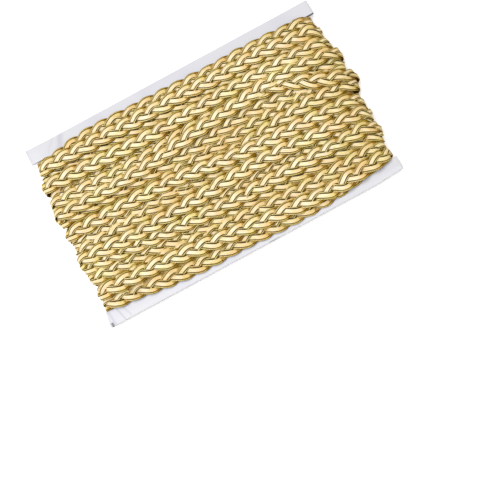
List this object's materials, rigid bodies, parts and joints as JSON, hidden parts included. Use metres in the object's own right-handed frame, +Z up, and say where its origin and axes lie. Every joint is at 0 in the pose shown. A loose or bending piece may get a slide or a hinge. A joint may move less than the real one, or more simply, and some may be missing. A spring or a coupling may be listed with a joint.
{
  "type": "metallic braid trim wound on a card",
  "caption": "Flat plaited gold trim wound lengthwise in two loose layers round a white card with notched ends, for sewing as an edging.",
  "frame": {"origin": "on the surface the part lies on, under the middle of its outline", "axes": "+X along the card and the turns of trim, +Y across the turns towards the edge with the smaller bare strip, +Z up out of the front"},
  "size_m": [0.1572, 0.0962, 0.0114],
  "materials": {
    "card": "white coated board, smooth, slightly satin",
    "gold_braid": "cream-gold satin bands edged with twisted metallic gold cord"
  },
  "bodies": {
    "root": {"card": "card", "wound_trim": "gold_braid"}
  },
  "joints": []
}
